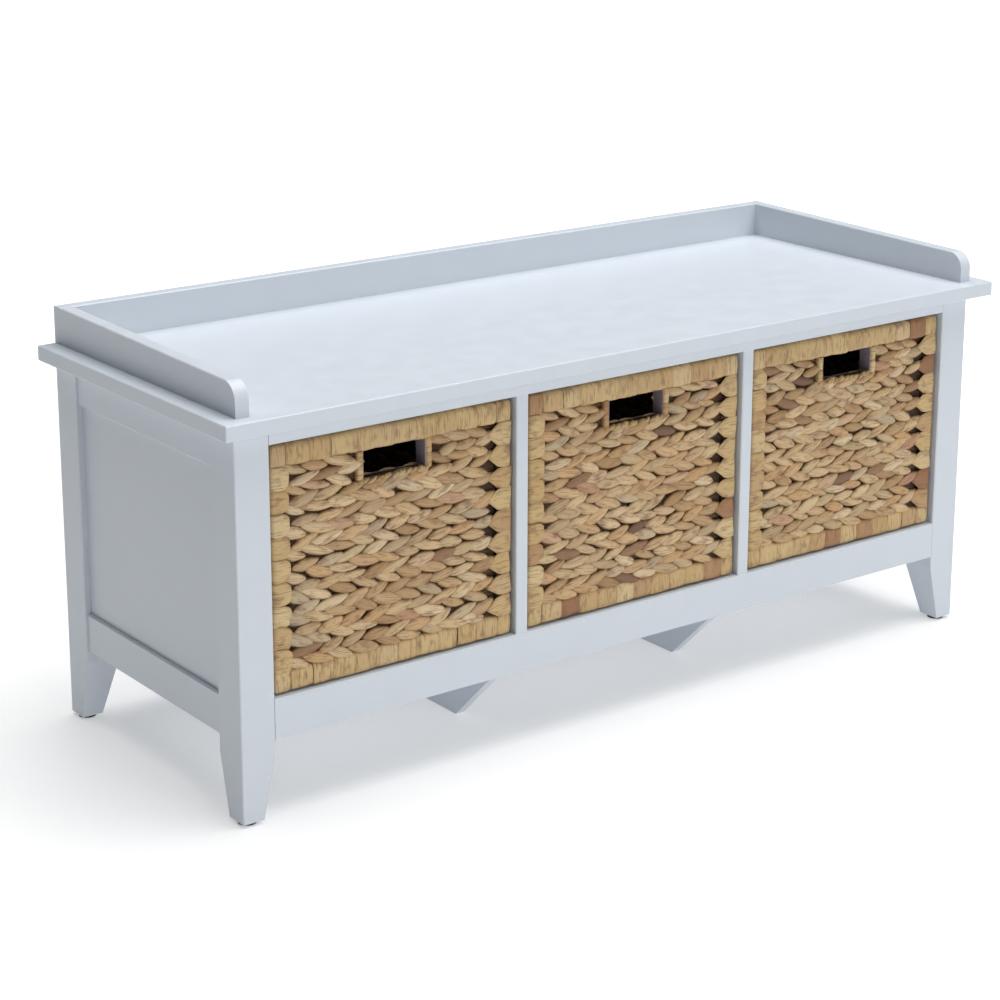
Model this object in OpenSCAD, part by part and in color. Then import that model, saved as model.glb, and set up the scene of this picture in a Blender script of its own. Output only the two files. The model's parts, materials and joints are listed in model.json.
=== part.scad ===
// Entryway bench: a painted seat on four tapered legs, with three woven pull-out baskets.
// Origin at the floor under the middle of the seat. +X is to the sitter's right seen from the
// front, -Y is the open front, +Z is up. All sizes are in millimetres.

/* [Overall] */
// Length of the seat slab
bench_l = 1092; // [900:1:1400]
// Depth of the seat slab
bench_d = 406; // [340:1:520]
// Height of the sitting surface above the floor
seat_h = 441; // [360:1:530]

/* [Seat and gallery] */
// Thickness of the seat slab
seat_t = 17; // [14:1:25]
// Height of the gallery above the seat at the back
gallery_h = 42; // [30:1:90]
// Height of the gallery above the seat just behind its front ends
gallery_front_h = 36; // [26:1:80]
// Radius of the front top corner of a gallery side board
gallery_round = 20; // [6:1:24]
// Thickness of the gallery boards
gallery_t = 16; // [12:1:22]
// Distance from a seat end to the outer face of a gallery side board
gallery_inset = 22; // [10:1:40]
// Distance from the seat's front edge to a side board's front end
gallery_setback = 18; // [8:1:60]
// Depth of the groove that the gallery boards stand in
gallery_groove = 3; // [2:0.5:5]

/* [Legs] */
// Width of a leg across the front
leg_w = 41; // [34:1:55]
// Depth of a leg, front to back
leg_d = 45; // [36:1:60]
// Width of a leg at its foot
foot_w = 25; // [18:1:32]
// Depth of a leg at its foot
foot_d = 28; // [18:1:34]
// Height above the floor where the taper begins
taper_z = 75; // [50:1:82]
// Overhang of the seat past the legs at each end
end_overhang = 21; // [5:1:40]
// Overhang of the seat past the legs at the front
front_overhang = 22; // [5:1:40]
// Overhang of the seat past the legs at the back
back_overhang = 1; // [0:1:20]
// Diameter of a floor glide
glide_d = 20; // [14:1:24]
// Thickness of a floor glide
glide_t = 4; // [2:0.5:8]

/* [Rails and panels] */
// Thickness of the rails
rail_t = 20; // [16:1:24]
// Height of the lower rails and of the rails under the seat at the sides and back
rail_h = 45; // [38:1:60]
// Height of the lower rails' underside above the floor
lower_rail_z = 89; // [84:1:110]
// Height of the front rail under the seat
top_rail_h = 18; // [14:1:30]
// How far the side and rear rails stand in from the legs' outer faces
rail_recess = 2.5; // [0:0.5:6]
// How far the side and back panels stand in from the legs' outer faces
panel_recess = 7.5; // [6:0.5:12]
// Thickness of a side panel
side_panel_t = 9; // [5:1:10]
// Thickness of the back panel
back_panel_t = 6; // [3:1:10]
// Depth of the grooves that hold the side and back panels
panel_groove = 6; // [3:1:8]
// Thickness of the bottom panel
bottom_t = 12; // [9:1:18]
// Width of the rebates that the bottom panel lies in
bottom_rebate = 8; // [5:1:8]
// Thickness of the dividers
divider_t = 16; // [12:1:22]
// How far a divider's front edge stands behind the legs' front faces
divider_recess = 1; // [0:0.5:5]

/* [Centre feet] */
// Thickness of a centre foot board
centre_foot_t = 12; // [10:1:22]
// Height where the slanted ends of a centre foot begin
centre_foot_slant_z = 95; // [60:1:100]
// How far each slanted end runs in towards the middle
centre_foot_slant_run = 98; // [40:1:120]

/* [Baskets] */
// Gap between a basket and the bay on each side
basket_side_gap = 4; // [2:0.5:12]
// Gap between a basket and the front rail above it
basket_top_gap = 4; // [2:0.5:20]
// Gap under a basket
basket_floor_gap = 0.5; // [0.3:0.1:2]
// How far a basket's front stands behind the legs' front faces
basket_recess = 5; // [0:0.5:15]
// Gap between a basket and the rear rails
basket_back_gap = 5; // [3:1:30]
// Thickness of a basket's woven walls
basket_wall = 20; // [14:1:24]
// Height of a basket's wrapped rims
basket_rim_h = 23; // [16:1:34]
// Thickness of a basket's woven floor
basket_floor_t = 12; // [8:1:15]
// Width of the hand hole
hand_hole_w = 78; // [60:1:120]
// Height of the hand hole
hand_hole_h = 32; // [24:1:50]
// Width of the square steel bar in a basket's frame
frame_bar = 5; // [3:0.5:7]

/* [Fasteners] */
// Diameter of the dowels in the rails, the seat and the gallery
dowel_d = 8; // [6:1:8]
// Length of the dowels in the rails
dowel_l = 30; // [20:1:34]
// Diameter of the dowels in the dividers
thin_dowel_d = 6; // [4:1:7]
// How far a dowel goes into the seat slab
seat_dowel_depth = 10; // [6:1:12]
// How far a dowel goes into a rail or a divider
edge_dowel_depth = 15; // [10:1:18]
// Diameter of a wood screw's shank
screw_d = 4; // [3:0.5:5]
// Diameter of a wood screw's head
screw_head_d = 8; // [6:0.5:9]
// How far a screw goes past the board that its head sits in
screw_bite = 10; // [8:1:11]
// Diameter of a glide's nail
nail_d = 2.5; // [1.5:0.5:4]
// Length of a glide's nail
nail_l = 15; // [10:1:20]

/* [Hidden] */
$fn = 48;
// width of the eased long edges
ease = 1;
// a cut runs this far past a face that it opens
past = 1;

// the seat slab and the space under it
seat_z = seat_h - seat_t;
seat_x = bench_l / 2;
seat_y = bench_d / 2;
top_rail_z = seat_z - top_rail_h;
upper_rail_z = seat_z - rail_h;
lower_rail_top = lower_rail_z + rail_h;

// the legs' outer faces
leg_x = seat_x - end_overhang;
front_y = -seat_y + front_overhang;
back_y = seat_y - back_overhang;

// the rails
bay_end_x = leg_x - leg_w;
side_rail_outer = leg_x - rail_recess;
side_rail_inner = side_rail_outer - rail_t;
side_rail_y0 = front_y + leg_d;
side_rail_y1 = back_y - leg_d;
front_rail_inner = front_y + rail_t;
rear_rail_outer = back_y - rail_recess;
rear_rail_inner = rear_rail_outer - rail_t;

// the three bays and the dividers between them
bay_w = (2 * bay_end_x - 2 * divider_t) / 3;
divider_x = (bay_w + divider_t) / 2;
divider_y0 = front_y + divider_recess;
bottom_z = lower_rail_top - bottom_t;

// the gallery
gallery_x = seat_x - gallery_inset;
gallery_z = seat_h - gallery_groove;
gallery_back_y = seat_y - gallery_t;
gallery_front_y = -seat_y + gallery_setback;

// a basket, measured from the middle of its front edge at its base
basket_w = bay_w - 2 * basket_side_gap;
basket_y = front_y + basket_recess;
basket_d = rear_rail_inner - basket_back_gap - basket_y;
basket_z = lower_rail_top + basket_floor_gap;
basket_h = top_rail_z - basket_top_gap - basket_z;
basket_pitch = bay_w + divider_t;
basket_wall_h = basket_h - 2 * basket_rim_h;
basket_inner_w = basket_w - 2 * basket_wall;
basket_inner_d = basket_d - 2 * basket_wall;
LEFT = -1;
MIDDLE = 0;
RIGHT = 1;
FRONT = -1;
REAR = 1;

// the middles of n equal shares of the stretch from a to b
function spread(a, b, n) = [for (i = [0:n - 1]) a + (b - a) * (i + 0.5) / n];

// dowel rows at the ends of the rails, clear of the bottom panel and of the panel grooves
dowel_edge = dowel_d / 2 + 3;
lower_dowel_z = [lower_rail_z + dowel_edge, bottom_z - dowel_edge];
upper_dowel_z = [seat_z - dowel_edge, upper_rail_z + panel_groove + dowel_edge];
rear_dowel_y = rear_rail_outer - rail_t / 2;
side_dowel_x = side_rail_outer - rail_t / 2;
top_rail_dowel_y = spread(front_y, front_y + leg_d, 2);

// ---- shapes that repeat ----

// a rectangle with its four corners eased
module eased_rect(w, h) {
    polygon([
        [ease, 0], [w - ease, 0], [w, ease], [w, h - ease],
        [w - ease, h], [ease, h], [0, h - ease], [0, ease]
    ]);
}

// a 2D profile drawn as (y, z), extruded along X from x0 to x1
module along_x(x0, x1) {
    translate([x0, 0, 0]) rotate([90, 0, 90]) linear_extrude(x1 - x0) children();
}

// a 2D profile drawn as (x, z), extruded along Y from y0 to y1
module along_y(y0, y1) {
    translate([0, y1, 0]) rotate([90, 0, 0]) linear_extrude(y1 - y0) children();
}

// a plain board between two corners
module board(lo, hi) {
    translate(lo) cube(hi - lo);
}

// boards with eased long edges, by the way they run
module board_x(lo, hi) {
    along_x(lo.x, hi.x) translate([lo.y, lo.z]) eased_rect(hi.y - lo.y, hi.z - lo.z);
}
module board_y(lo, hi) {
    along_y(lo.y, hi.y) translate([lo.x, lo.z]) eased_rect(hi.x - lo.x, hi.z - lo.z);
}
module board_z(lo, hi) {
    translate(lo) linear_extrude(hi.z - lo.z) eased_rect(hi.x - lo.x, hi.y - lo.y);
}

// a board with all twelve edges eased
module board_all(lo, hi) {
    intersection() {
        board_x(lo, hi);
        board_y(lo, hi);
        board_z(lo, hi);
    }
}

// the left (side -1) or right (side 1) copy of something drawn on the right
module on_side(side) {
    turn_x = side < 0 ? 1 : 0;
    mirror([turn_x, 0, 0]) children();
}

// a countersunk wood screw pointing up, with its head's face at z = 0
module wood_screw(l) {
    head_h = (screw_head_d - screw_d) / 2;
    cylinder(d1 = screw_head_d, d2 = screw_d, h = head_h);
    cylinder(d = screw_d, h = l);
}

// ---- fasteners ----

// dowels between the legs and the front and rear rails
module cross_dowels() {
    for (sx = [-1, 1], z = lower_dowel_z, y = [front_y + rail_t / 2, rear_dowel_y])
        translate([sx * bay_end_x, y, z]) rotate([0, 90, 0])
            cylinder(d = dowel_d, h = dowel_l, center = true);
    for (sx = [-1, 1], z = upper_dowel_z)
        translate([sx * bay_end_x, rear_dowel_y, z]) rotate([0, 90, 0])
            cylinder(d = dowel_d, h = dowel_l, center = true);
    for (sx = [-1, 1], y = top_rail_dowel_y)
        translate([sx * bay_end_x, y, seat_z - top_rail_h / 2]) rotate([0, 90, 0])
            cylinder(d = dowel_d, h = dowel_l, center = true);
}

// dowels between the legs and the side rails
module side_dowels() {
    for (sx = [-1, 1], z = concat(lower_dowel_z, upper_dowel_z), y = [side_rail_y0, side_rail_y1])
        translate([sx * side_dowel_x, y, z]) rotate([90, 0, 0])
            cylinder(d = dowel_d, h = dowel_l, center = true);
}

module rail_dowels() {
    color("burlywood") {
        cross_dowels();
        side_dowels();
    }
}

// dowels that stand in the rear and side rails and locate the seat
module seat_dowel_set() {
    l = seat_dowel_depth + edge_dowel_depth;
    for (x = spread(-bay_end_x, bay_end_x, 4))
        translate([x, rear_dowel_y, seat_z - edge_dowel_depth]) cylinder(d = dowel_d, h = l);
    for (sx = [-1, 1], y = spread(side_rail_y0, side_rail_y1, 2))
        translate([sx * side_dowel_x, y, seat_z - edge_dowel_depth]) cylinder(d = dowel_d, h = l);
}

module seat_dowels() {
    color("burlywood") seat_dowel_set();
}

// screws up through the front rail into the seat, one over the middle of each bay
module seat_screw_set() {
    for (i = [LEFT, MIDDLE, RIGHT])
        translate([i * basket_pitch, front_y + leg_d / 2, top_rail_z])
            wood_screw(top_rail_h + screw_bite);
}

module seat_screws() {
    color("silver") seat_screw_set();
}

// screws up through the seat into the gallery boards
module gallery_screw_set() {
    l = seat_t - gallery_groove + 2 * screw_bite;
    for (x = spread(-bay_end_x, bay_end_x, 5))
        translate([x, seat_y - gallery_t / 2, seat_z]) wood_screw(l);
    for (sx = [-1, 1], y = spread(gallery_front_y, gallery_back_y, 3))
        translate([sx * (gallery_x - gallery_t / 2), y, seat_z]) wood_screw(l);
}

module gallery_screws() {
    color("silver") gallery_screw_set();
}

// dowels between the gallery's side boards and its back board
module gallery_dowel_set() {
    blind = gallery_t - dowel_d / 2;
    for (sx = [-1, 1])
        translate([sx * (gallery_x - gallery_t / 2), gallery_back_y + blind, gallery_z + gallery_h / 2])
            rotate([90, 0, 0]) cylinder(d = dowel_d, h = blind + edge_dowel_depth);
}

module gallery_dowels() {
    color("burlywood") gallery_dowel_set();
}

// dowels at the dividers: down through the bottom panel into the centre feet, and up into the seat
module divider_dowel_set() {
    for (sx = [-1, 1]) {
        for (y = spread(front_rail_inner, rear_rail_inner, 3))
            translate([sx * divider_x, y, bottom_z - edge_dowel_depth])
                cylinder(d = thin_dowel_d, h = bottom_t + 2 * edge_dowel_depth);
        for (y = spread(side_rail_y0, rear_rail_inner, 2))
            translate([sx * divider_x, y, seat_z - edge_dowel_depth])
                cylinder(d = thin_dowel_d, h = seat_dowel_depth + edge_dowel_depth);
    }
}

module divider_dowels() {
    color("burlywood") divider_dowel_set();
}

// ---- seat and gallery ----

module gallery_back_blank() {
    board_x([-gallery_x, gallery_back_y, gallery_z], [gallery_x, seat_y, seat_h + gallery_h]);
}

// a side board: its top slopes down to a rounded front corner, and it stops at the back board
module gallery_side_blank() {
    fall = gallery_h - gallery_front_h;
    run = gallery_back_y - gallery_front_y;
    slope = atan(fall / run);
    top_back = seat_h + gallery_h;
    top_front = seat_h + gallery_front_h;
    section_h = 2 * gallery_h;
    difference() {
        intersection() {
            board(
                [gallery_x - gallery_t, gallery_front_y, gallery_z],
                [gallery_x, gallery_back_y, top_back + past]
            );
            translate([0, gallery_back_y, top_back]) rotate([slope, 0, 0])
                board_y([gallery_x - gallery_t, -2 * run, -section_h], [gallery_x, run, 0]);
        }
        along_x(gallery_x - gallery_t - past, gallery_x + past)
            difference() {
                translate([gallery_front_y - past, top_front - gallery_round])
                    square([gallery_round + past, gallery_round + fall]);
                translate([gallery_front_y + gallery_round, top_front - gallery_round])
                    circle(r = gallery_round);
            }
    }
}

module seat_top() {
    color("whitesmoke") difference() {
        board_all([-seat_x, -seat_y, seat_z], [seat_x, seat_y, seat_h]);
        board([-gallery_x, gallery_back_y, gallery_z], [gallery_x, seat_y + past, seat_h + past]);
        for (side = [LEFT, RIGHT])
            on_side(side) board(
                [gallery_x - gallery_t, gallery_front_y, gallery_z],
                [gallery_x, gallery_back_y + past, seat_h + past]
            );
        seat_screw_set();
        seat_dowel_set();
        gallery_screw_set();
        divider_dowel_set();
    }
}

module gallery_back() {
    color("white") difference() {
        gallery_back_blank();
        gallery_screw_set();
        gallery_dowel_set();
    }
}

module gallery_side(side) {
    color("white") difference() {
        on_side(side) gallery_side_blank();
        gallery_screw_set();
        gallery_dowel_set();
    }
}

// ---- legs and glides ----

// a leg drawn with its outer corner at the origin, tapering on its two inner faces
module leg_blank() {
    intersection() {
        along_y(0, leg_d)
            polygon([
                [0, glide_t], [foot_w, glide_t], [leg_w, taper_z], [leg_w, seat_z], [0, seat_z]
            ]);
        along_x(0, leg_w)
            polygon([
                [0, glide_t], [foot_d, glide_t], [leg_d, taper_z], [leg_d, seat_z], [0, seat_z]
            ]);
        board_z([0, 0, 0], [leg_w, leg_d, seat_z]);
    }
}

// puts something drawn at a leg's outer corner in its place on the bench
module at_leg(side, row) {
    turn_x = side > 0 ? 1 : 0;
    turn_y = row > 0 ? 1 : 0;
    corner_y = row > 0 ? back_y : front_y;
    translate([side * leg_x, corner_y, 0]) mirror([turn_x, 0, 0]) mirror([0, turn_y, 0]) children();
}

module glide() {
    translate([foot_w / 2, foot_d / 2, 0]) {
        cylinder(d = glide_d, h = glide_t);
        cylinder(d = nail_d, h = glide_t + nail_l);
    }
}

module leg(side, row) {
    color("whitesmoke") difference() {
        at_leg(side, row) difference() {
            leg_blank();
            glide();
        }
        side_panel_blank(side);
        back_panel_blank();
        cross_dowels();
        side_dowels();
    }
}

module floor_glides() {
    color("dimgray")
        for (side = [LEFT, RIGHT], row = [FRONT, REAR])
            at_leg(side, row) glide();
}

// ---- side and back panels ----

module side_panel_blank(side) {
    outer = leg_x - panel_recess;
    on_side(side) board(
        [outer - side_panel_t, side_rail_y0 - panel_groove, lower_rail_top - panel_groove],
        [outer, side_rail_y1 + panel_groove, upper_rail_z + panel_groove]
    );
}

module side_panel(side) {
    color("gainsboro") side_panel_blank(side);
}

module back_panel_blank() {
    outer = back_y - panel_recess;
    board(
        [-bay_end_x - panel_groove, outer - back_panel_t, lower_rail_top - panel_groove],
        [bay_end_x + panel_groove, outer, upper_rail_z + panel_groove]
    );
}

module back_panel() {
    color("gainsboro") back_panel_blank();
}

// ---- rails ----

module side_rail(side, z) {
    color("whitesmoke") difference() {
        on_side(side)
            board_y([side_rail_inner, side_rail_y0, z], [side_rail_outer, side_rail_y1, z + rail_h]);
        side_panel_blank(side);
        side_dowels();
        seat_dowel_set();
    }
}

module rear_rail(z) {
    color("whitesmoke") difference() {
        board_x([-bay_end_x, rear_rail_inner, z], [bay_end_x, rear_rail_outer, z + rail_h]);
        back_panel_blank();
        bottom_panel_blank();
        cross_dowels();
        seat_dowel_set();
    }
}

module front_top_rail() {
    color("whitesmoke") difference() {
        board_x([-bay_end_x, front_y, top_rail_z], [bay_end_x, front_y + leg_d, seat_z]);
        cross_dowels();
        seat_screw_set();
    }
}

module front_bottom_rail() {
    color("whitesmoke") difference() {
        board_x([-bay_end_x, front_y, lower_rail_z], [bay_end_x, front_rail_inner, lower_rail_top]);
        bottom_panel_blank();
        cross_dowels();
    }
}

// ---- bottom panel, dividers and centre feet ----

// lies in rebates in the front and rear rails, and is notched round the legs
module bottom_panel_blank() {
    difference() {
        board(
            [-side_rail_inner, front_rail_inner - bottom_rebate, bottom_z],
            [side_rail_inner, rear_rail_inner + bottom_rebate, lower_rail_top]
        );
        for (side = [LEFT, RIGHT], row = [FRONT, REAR])
            at_leg(side, row) translate([0, 0, bottom_z - past])
                cube([leg_w, leg_d, bottom_t + 2 * past]);
    }
}

module bottom_panel() {
    color("whitesmoke") difference() {
        bottom_panel_blank();
        divider_dowel_set();
    }
}

// stands on the bottom rail and panel, notched at the front for the rail under the seat
module divider(side) {
    x = side * divider_x;
    color("whitesmoke") difference() {
        board_z(
            [x - divider_t / 2, divider_y0, lower_rail_top],
            [x + divider_t / 2, rear_rail_inner, seat_z]
        );
        board(
            [x - divider_t / 2 - past, divider_y0 - past, top_rail_z],
            [x + divider_t / 2 + past, side_rail_y0, seat_z + past]
        );
        divider_dowel_set();
    }
}

// a board on edge under each divider, with its ends slanted in to a short foot on the floor
module centre_foot(side) {
    x = side * divider_x;
    color("whitesmoke") difference() {
        along_x(x - centre_foot_t / 2, x + centre_foot_t / 2)
            polygon([
                [front_rail_inner + centre_foot_slant_run, 0],
                [rear_rail_inner - centre_foot_slant_run, 0],
                [rear_rail_inner, centre_foot_slant_z], [rear_rail_inner, bottom_z],
                [front_rail_inner, bottom_z], [front_rail_inner, centre_foot_slant_z]
            ]);
        divider_dowel_set();
    }
}

// ---- baskets ----

module at_basket(bay) {
    translate([bay * basket_pitch, basket_y, basket_z]) children();
}

// square steel bars: a ring in each rim, joined by a bar in each corner post
module steel_bars() {
    near = (basket_wall - frame_bar) / 2;
    wide = basket_w / 2 - near;
    for (z = [(basket_rim_h - frame_bar) / 2, basket_h - (basket_rim_h + frame_bar) / 2])
        difference() {
            board([-wide, near, z], [wide, basket_d - near, z + frame_bar]);
            board(
                [frame_bar - wide, near + frame_bar, z - past],
                [wide - frame_bar, basket_d - near - frame_bar, z + frame_bar + past]
            );
        }
    for (x = [-wide, wide - frame_bar], y = [near, basket_d - near - frame_bar])
        translate([x, y, basket_rim_h / 2]) cube([frame_bar, frame_bar, basket_h - basket_rim_h]);
}

module basket_rim(z) {
    color("tan") difference() {
        board([-basket_w / 2, 0, z], [basket_w / 2, basket_d, z + basket_rim_h]);
        board(
            [-basket_inner_w / 2, basket_wall, z - past],
            [basket_inner_w / 2, basket_d - basket_wall, z + basket_rim_h + past]
        );
        steel_bars();
    }
}

module basket_corner_posts() {
    color("burlywood") difference() {
        for (x = [-basket_w / 2, basket_inner_w / 2], y = [0, basket_d - basket_wall])
            translate([x, y, basket_rim_h]) cube([basket_wall, basket_wall, basket_wall_h]);
        steel_bars();
    }
}

// the front wall, with the hand hole right under the rim
module basket_front_wall() {
    color("peru") translate([0, 0, basket_rim_h]) difference() {
        board([-basket_inner_w / 2, 0, 0], [basket_inner_w / 2, basket_wall, basket_wall_h]);
        board(
            [-hand_hole_w / 2, -past, basket_wall_h - hand_hole_h],
            [hand_hole_w / 2, basket_wall + past, basket_wall_h + past]
        );
    }
}

module basket_back_wall() {
    color("peru") board(
        [-basket_inner_w / 2, basket_d - basket_wall, basket_rim_h],
        [basket_inner_w / 2, basket_d, basket_rim_h + basket_wall_h]
    );
}

module basket_side_walls() {
    color("peru")
        for (x = [-basket_w / 2, basket_inner_w / 2])
            translate([x, basket_wall, basket_rim_h])
                cube([basket_wall, basket_inner_d, basket_wall_h]);
}

module basket_floor() {
    color("sienna")
        board([-basket_inner_w / 2, basket_wall, 0],
              [basket_inner_w / 2, basket_d - basket_wall, basket_floor_t]);
}

module basket_steel_frame() {
    color("slategray") steel_bars();
}

// ---- the bench ----

seat_top();
gallery_back();
gallery_side(LEFT);  // gallery_left
gallery_side(RIGHT);  // gallery_right
leg(LEFT, FRONT);  // front_left_leg
leg(RIGHT, FRONT);  // front_right_leg
leg(LEFT, REAR);  // rear_left_leg
leg(RIGHT, REAR);  // rear_right_leg
side_rail(LEFT, upper_rail_z);  // left_upper_side_rail
side_rail(RIGHT, upper_rail_z);  // right_upper_side_rail
side_rail(LEFT, lower_rail_z);  // left_lower_side_rail
side_rail(RIGHT, lower_rail_z);  // right_lower_side_rail
side_panel(LEFT);  // left_side_panel
side_panel(RIGHT);  // right_side_panel
front_top_rail();
front_bottom_rail();
rear_rail(upper_rail_z);  // rear_top_rail
rear_rail(lower_rail_z);  // rear_bottom_rail
back_panel();
bottom_panel();
divider(LEFT);  // left_divider
divider(RIGHT);  // right_divider
centre_foot(LEFT);  // left_centre_foot
centre_foot(RIGHT);  // right_centre_foot
floor_glides();
rail_dowels();
seat_screws();
seat_dowels();
gallery_screws();
gallery_dowels();
divider_dowels();

top_rim_z = basket_h - basket_rim_h;
at_basket(LEFT) basket_rim(top_rim_z);  // left_basket_top_rim
at_basket(LEFT) basket_rim(0);  // left_basket_bottom_rim
at_basket(LEFT) basket_corner_posts();  // left_basket_corner_posts
at_basket(LEFT) basket_front_wall();  // left_basket_front_wall
at_basket(LEFT) basket_back_wall();  // left_basket_back_wall
at_basket(LEFT) basket_side_walls();  // left_basket_side_walls
at_basket(LEFT) basket_floor();  // left_basket_floor
at_basket(LEFT) basket_steel_frame();  // left_basket_steel_frame
at_basket(MIDDLE) basket_rim(top_rim_z);  // middle_basket_top_rim
at_basket(MIDDLE) basket_rim(0);  // middle_basket_bottom_rim
at_basket(MIDDLE) basket_corner_posts();  // middle_basket_corner_posts
at_basket(MIDDLE) basket_front_wall();  // middle_basket_front_wall
at_basket(MIDDLE) basket_back_wall();  // middle_basket_back_wall
at_basket(MIDDLE) basket_side_walls();  // middle_basket_side_walls
at_basket(MIDDLE) basket_floor();  // middle_basket_floor
at_basket(MIDDLE) basket_steel_frame();  // middle_basket_steel_frame
at_basket(RIGHT) basket_rim(top_rim_z);  // right_basket_top_rim
at_basket(RIGHT) basket_rim(0);  // right_basket_bottom_rim
at_basket(RIGHT) basket_corner_posts();  // right_basket_corner_posts
at_basket(RIGHT) basket_front_wall();  // right_basket_front_wall
at_basket(RIGHT) basket_back_wall();  // right_basket_back_wall
at_basket(RIGHT) basket_side_walls();  // right_basket_side_walls
at_basket(RIGHT) basket_floor();  // right_basket_floor
at_basket(RIGHT) basket_steel_frame();  // right_basket_steel_frame
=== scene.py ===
# %% [markdown]
# # An entryway bench with three woven baskets
# The bench is a white lacquered wooden box on tapered legs, open at the front,
# with three water hyacinth baskets that slide out of their bays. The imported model
# already has every board, screw and dowel in its place. This script dresses it:
# it gives the boards their lacquer, and it weaves the baskets stalk by stalk.

import json
import math
import random
from types import SimpleNamespace

import bpy
from mathutils import Euler, Matrix, Vector


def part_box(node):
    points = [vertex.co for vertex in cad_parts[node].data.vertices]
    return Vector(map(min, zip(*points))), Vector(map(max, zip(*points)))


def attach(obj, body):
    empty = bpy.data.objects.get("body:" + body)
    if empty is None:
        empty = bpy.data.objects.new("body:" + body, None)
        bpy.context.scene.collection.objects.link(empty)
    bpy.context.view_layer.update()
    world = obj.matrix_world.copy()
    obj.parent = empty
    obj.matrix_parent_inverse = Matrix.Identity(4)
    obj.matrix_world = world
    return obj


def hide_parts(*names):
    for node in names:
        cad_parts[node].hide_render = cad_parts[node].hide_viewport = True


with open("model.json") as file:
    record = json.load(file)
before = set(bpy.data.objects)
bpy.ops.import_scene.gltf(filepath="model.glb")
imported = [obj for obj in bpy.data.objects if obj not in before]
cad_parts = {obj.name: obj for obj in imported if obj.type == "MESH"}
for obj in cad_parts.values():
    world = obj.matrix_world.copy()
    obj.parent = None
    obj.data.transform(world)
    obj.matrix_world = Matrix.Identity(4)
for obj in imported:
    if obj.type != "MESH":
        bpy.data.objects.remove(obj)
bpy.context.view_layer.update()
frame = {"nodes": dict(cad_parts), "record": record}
nodes = frame["nodes"]

# %% [markdown]
# ## Four small helpers
# Materials and Geometry Nodes are both made of nodes. One function adds a node,
# sets it up and plugs in its inputs, so a whole tree reads as a list of calls.
# Colours are written as the hex values that a paint chart shows, and Blender wants
# linear light, so a second turns the first into the second. The third makes a Color
# Ramp from such values, and the fourth starts a new material.

# %% Nodes, colours, ramps and materials
MM = 0.001


def add(tree, kind, inputs=None, **settings):
    """Adds a node, sets its settings, and gives each input a value or a link."""
    node = tree.nodes.new(kind)
    for key, value in settings.items():
        setattr(node, key, value)
    for key, value in (inputs or {}).items():
        if isinstance(value, bpy.types.NodeSocket):
            tree.links.new(value, node.inputs[key])
        else:
            node.inputs[key].default_value = value
    return node


def linear(code):
    """The linear colour of an sRGB hex code."""
    parts = [int(code[i:i + 2], 16) / 255 for i in (0, 2, 4)]
    return [c / 12.92 if c <= 0.04045 else ((c + 0.055) / 1.055) ** 2.4
            for c in parts] + [1.0]


def ramp(tree, factor, stops):
    """A Color Ramp with the stops (position, hex code)."""
    node = add(tree, "ShaderNodeValToRGB", {"Fac": factor})
    while len(node.color_ramp.elements) < len(stops):
        node.color_ramp.elements.new(0.5)
    for element, (place, code) in zip(node.color_ramp.elements, stops):
        element.position, element.color = place, linear(code)
    return node.outputs["Color"]


def finish(name):
    """An empty material: its tree and its Principled shader."""
    material = bpy.data.materials.new(name)
    material.use_nodes = True
    tree = material.node_tree
    return material, tree, tree.nodes["Principled BSDF"]


print("linear mid grey:", [round(c, 3) for c in linear("808080")])

# %% [markdown]
# ## White satin lacquer
# The boards are rubberwood and fibreboard, sprayed with a cool white lacquer and
# rubbed to a satin sheen. Up close a sprayed coat has a faint orange peel about a
# millimetre across, and broader swells where the coat is thicker. Both only show
# in how it glints, so they go into the bump and the roughness, and the colour
# hardly changes. An image texture would tile; noise on Object coordinates doesn't.

# %% White satin lacquer
PEEL, SWELL = 1.2 * MM, 28 * MM        # how wide the orange peel and the swells are
PEEL_DEPTH, SWELL_DEPTH = 0.03 * MM, 0.05 * MM

lacquer, tree, shader = finish("white_satin_lacquer")
place = add(tree, "ShaderNodeTexCoord").outputs["Object"]
peel = add(tree, "ShaderNodeTexNoise",
           {"Vector": place, "Scale": 1 / PEEL, "Detail": 2.0}).outputs["Fac"]
swell = add(tree, "ShaderNodeTexNoise",
            {"Vector": place, "Scale": 1 / SWELL, "Detail": 3.0}).outputs["Fac"]
tree.links.new(ramp(tree, swell, [(0.3, "CBD2DA"), (0.7, "CDD4DC")]),
               shader.inputs["Base Color"])
tree.links.new(add(tree, "ShaderNodeMapRange", {
    "Value": swell, "From Min": 0.25, "From Max": 0.75,
    "To Min": 0.36, "To Max": 0.46}).outputs["Result"], shader.inputs["Roughness"])
waves = add(tree, "ShaderNodeBump", {
    "Height": swell, "Strength": 0.25, "Distance": SWELL_DEPTH}).outputs["Normal"]
tree.links.new(add(tree, "ShaderNodeBump", {
    "Height": peel, "Strength": 0.3, "Distance": PEEL_DEPTH,
    "Normal": waves}).outputs["Normal"], shader.inputs["Normal"])
shader.inputs["IOR"].default_value = 1.5
print("made", lacquer.name)

# %% [markdown]
# ## The small parts inside the bench
# Glides are moulded polyethylene, dowels are turned beech, screws are zinc plated,
# the wire frame inside each basket is powder coated, and the strap in its hand hole
# is grey steel. Most of this is hidden, but a part that is taken to pieces shows it.
# One recipe serves all five: two close colours mixed by noise, a roughness, and a
# bump, each at the finish's own size.

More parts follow.
